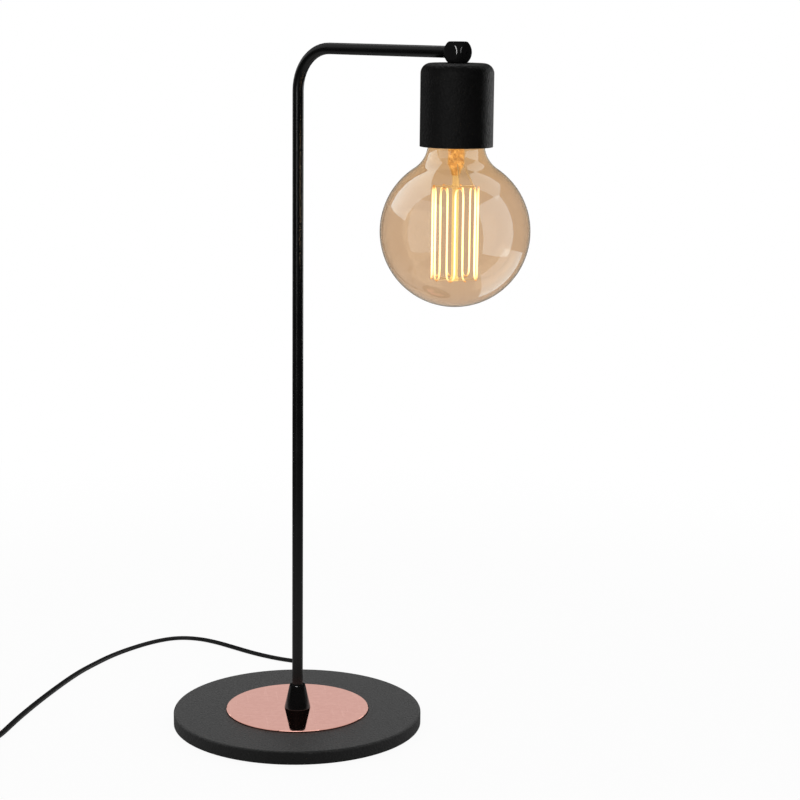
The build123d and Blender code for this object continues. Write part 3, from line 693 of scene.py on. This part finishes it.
pad_foam = new_finish("pad_foam", {}, moulded_skin(ink, (0.02, 0.02, 0.02), 1100.0, 0.8, 0.15, 0.5))
vitrite = new_finish("black_vitrite", {}, moulded_skin((0.004, 0.004, 0.006), ink, 600.0, 0.08, 0.1, 0.05))

# %% [markdown]
# Every CAD node takes its finish by the record's material slot, and each new piece the finish of its kind. A
# few nodes have one of their own: the base and the cup get the sandy paint, the elbow and the ferrule the
# gloss coat, and the rod in the bulb its painted glow.

# %% Dress the pieces
by_slot = {
    "painted_steel": smooth_paint, "copper": copper, "pad": pad_foam, "zinc": zinc, "flex": flex_skin,
    "holder": holder_resin, "brass": brass, "insulator": vitrite, "amber_glass": amber_glass,
    "clear_glass": stem_glass, "wire": support_metal, "filament": hot_filament, "black_plastic": plastic,
    "rocker_plastic": rocker_gloss,
}
by_node = {
    "base_plate": sandy_paint, "cup_shell": sandy_paint, "elbow": turned_paint, "ferrule": turned_paint,
    "bulb_rod": rod_glass,
}
for row in frame["record"]["subparts"]:
    node = nodes[row["node"]]
    node.data.materials.clear()
    node.data.materials.append(by_node.get(row["node"], by_slot[row["material_slot"]]))
for piece, finish in ((flex, flex_skin), (globe, amber_glass), (filament, hot_filament), (screw_cap, brass)):
    piece.data.materials.append(finish)

# %% [markdown]
# The photograph has a plain white ground. The floor is a pale plane that stays white for the camera and the
# glass, with part of its real shading left in near the lamp, so that it keeps a soft shadow. Mirrors see it
# pale close to the lamp and dim further off, because black paint would show a wide white floor as grey.

# %% Floor
floor_half = 60.0
floor_drop = 0.0004
floor_tone = (0.92, 0.92, 0.92, 1.0)
near_room = 0.01
near_floor = 0.28
mirror_fades = (0.2, 0.8)
shadow_fades = (0.35, 0.9)
whitened = 0.94
corners = np.array([(-1, -1, 0), (1, -1, 0), (1, 1, 0), (-1, 1, 0)], float) * floor_half
corners[:, 2] = -floor_drop
floor_mesh = bpy.data.meshes.new("floor")
floor_mesh.from_pydata(corners.tolist(), [], [(0, 1, 2, 3)])
floor = bpy.data.objects.new("floor", floor_mesh)
bpy.context.scene.collection.objects.link(floor)


def ray_is(start, *kinds):
    """One where the ray is of one of these kinds, and nothing elsewhere."""
    total = 0.0
    for kind in kinds:
        total = total + start.node("ShaderNodeLightPath", output="Is " + kind + " Ray")
    return start.maths("MINIMUM", total, 1.0)


def away_from_lamp(start):
    """The distance from the foot of the pole."""
    return start.node("ShaderNodeVectorMath", {"operation": "LENGTH"}, {0: object_place(start)}, "Value")


floor_finish = bpy.data.materials.new("white_floor")
floor_finish.use_nodes = True
tree = floor_finish.node_tree
start = Signal(tree)
matte = tree.nodes["Principled BSDF"]
for socket, value in (("Base Color", floor_tone), ("Roughness", 0.9), ("Specular IOR Level", 0.0)):
    matte.inputs[socket].default_value = value
in_sight = ray_is(start, "Camera", "Transmission")
in_mirror = ray_is(start, "Glossy") * (1 - in_sight)
mirrored = ramp(start, away_from_lamp(start), *mirror_fades, near_floor, near_room)
shine = start.node("ShaderNodeEmission", None, {"Color": in_sight + in_mirror * mirrored, "Strength": 1.0})
shown = in_sight * ramp(start, away_from_lamp(start), *shadow_fades, whitened, 1.0) + in_mirror
mixed = start.node("ShaderNodeMixShader", None, {0: shown, 1: Signal(tree, matte.outputs[0]), 2: shine})
tree.links.new(mixed.socket, tree.nodes["Material Output"].inputs["Surface"])
floor_mesh.materials.append(floor_finish)
print("floor:", 2 * floor_half, "m wide")

# %% [markdown]
# The surround is white where the camera and the glass see it, and it lights matte surfaces evenly. Mirrors
# see a dim room in its place, and that is what keeps black paint black.

# %% Surround
ambient = 0.7
world = bpy.data.worlds.new("studio")
world.use_nodes = True
bpy.context.scene.world = world
start = Signal(world.node_tree)
in_sight = ray_is(start, "Camera", "Transmission")
in_mirror = ray_is(start, "Glossy")
level = in_sight + (1 - in_sight) * (in_mirror * near_room + (1 - in_mirror) * ambient)
surround = world.node_tree.nodes["Background"]
surround.inputs["Color"].default_value = (1.0, 1.0, 1.0, 1.0)
start.feed(surround.inputs["Strength"], level)
bpy.context.scene.view_settings.view_transform = "Standard"
print("surround: ambient", ambient, "and", near_room, "in mirrors")

# %% [markdown]
# Light linking gives each kind of piece its own lights. The globe mirrors cool panels above it and at its
# sides. The paint has a key light at the front left, a rim light behind the right, a weak one behind the left
# and one from above, and the tube has one more. The elbow gets two glints and the ferrule one. The copper
# and the base have a light overhead. Pale walls stand all round that only the copper, the brass and the base
# see, because the rest of the black paint would mirror them at its edges.

# %% Lights
plain_white = (1.0, 1.0, 1.0)
cool_white = (0.74, 0.97, 1.15)
wall_distance, wall_width, wall_height, wall_radiance = 1.9, 3.8, 3.6, 0.7


def light_group(name, pieces):
    """A collection of the pieces that some lights shine on, kept out of the scene's own tree."""
    group = bpy.data.collections.new(name)
    for piece in pieces:
        group.objects.link(piece)
    return group


def soft_light(name, group, picture_way, distance, width, height, radiance, colour=plain_white):
    """An area lamp aimed at the globe, from a direction along the picture's right, up and towards the eye.

    Its power is radiance * pi * area, so that radiance is what a mirror shows of it.
    """
    lamp = bpy.data.lights.new(name, "AREA")
    lamp.shape = "RECTANGLE"
    lamp.size = width
    lamp.size_y = height
    lamp.energy = radiance * pi * width * height
    lamp.color = colour
    across, over, towards = picture_way
    way = (picture_right * across + picture_up * over - sight * towards).normalized()
    target = Vector((bulb_x, 0, globe_centre * MM))
    holder = bpy.data.objects.new(name, lamp)
    bpy.context.scene.collection.objects.link(holder)
    holder.location = target + way * distance
    holder.rotation_euler = way.to_track_quat("Z", "Y").to_euler()
    holder.visible_camera = False
    holder.light_linking.receiver_collection = group


lit_apart = ("elbow", "ferrule", "copper_inlay", "base_plate", "bulb_glass")
body_pieces = [piece for name, piece in nodes.items() if name not in lit_apart]
mirrors = [nodes["copper_inlay"], nodes["plug_pins"], screw_cap]
glass_group = light_group("lit_glass", [globe])
paint_group = light_group("lit_paint", [flex] + body_pieces)
tube_group = light_group("lit_tube", [nodes["stem_tube"], nodes["arm_locknut"]])
elbow_group = light_group("lit_elbow", [nodes["elbow"]])
ferrule_group = light_group("lit_ferrule", [nodes["ferrule"]])
copper_group = light_group("lit_copper", [nodes["copper_inlay"], nodes["base_plate"]])
mirror_group = light_group("lit_mirrors", mirrors)
base_group = light_group("lit_base", mirrors + [nodes["base_plate"]])

# Each row gives a name, a direction, and then distance, width, height and radiance.
glass_lights = (
    ("left_soft_light", (-0.72, 0.66, -0.15), 1.5, 1.4, 1.4, 2.0),
    ("right_soft_light", (0.52, 0.8, -0.02), 1.5, 0.9, 0.9, 1.6),
    ("right_panel", (0.91, 0.06, 0.40), 0.48, 0.5, 0.68, 2.2),
    ("left_panel", (-0.75, 0.06, 0.65), 0.48, 0.45, 0.66, 0.9),
    ("low_card", (0.73, -0.61, -0.31), 0.36, 0.36, 0.3, 1.2),
)
for name, *placing in glass_lights:
    soft_light(name, glass_group, *placing, cool_white)
body_lights = (
    ("key_light", paint_group, (-0.44, 0.06, 0.87), 1.6, 0.3, 1.2, 3.0),
    ("rim_light", paint_group, (0.70, 0.1, -0.68), 1.6, 0.5, 1.2, 2.8),
    ("far_light", paint_group, (-0.75, 0.1, -0.55), 1.6, 0.9, 1.2, 0.4),
    ("top_light", paint_group, (0.0, 0.9, -0.4), 1.6, 1.2, 0.9, 1.1),
    ("arm_light", tube_group, (-0.7, 0.54, -0.25), 1.6, 1.4, 1.3, 0.35),
    ("elbow_light", elbow_group, (-0.66, 0.17, 0.73), 1.6, 0.4, 1.2, 20.0),
    ("elbow_fill", elbow_group, (0.66, 0.17, 0.73), 1.6, 0.35, 1.0, 6.0),
    ("crown_light", ferrule_group, (-0.26, 0.84, 0.49), 1.6, 0.7, 0.6, 20.0),
    ("over_light", copper_group, (0.0, 0.87, 0.48), 1.5, 1.4, 1.0, 1.2),
)
for placing in body_lights:
    soft_light(*placing)
walls = (
    ("left_wall", base_group, (-1, 0.45, 0)),
    ("right_wall", base_group, (1, 0.45, 0)),
    ("back_wall", base_group, (0, 0.65, -1)),
    ("camera_wall", mirror_group, (0, 0.25, 1)),
)
for wall in walls:
    soft_light(*wall, wall_distance, wall_width, wall_height, wall_radiance)
print("lights:", len(glass_lights) + len(body_lights) + len(walls))
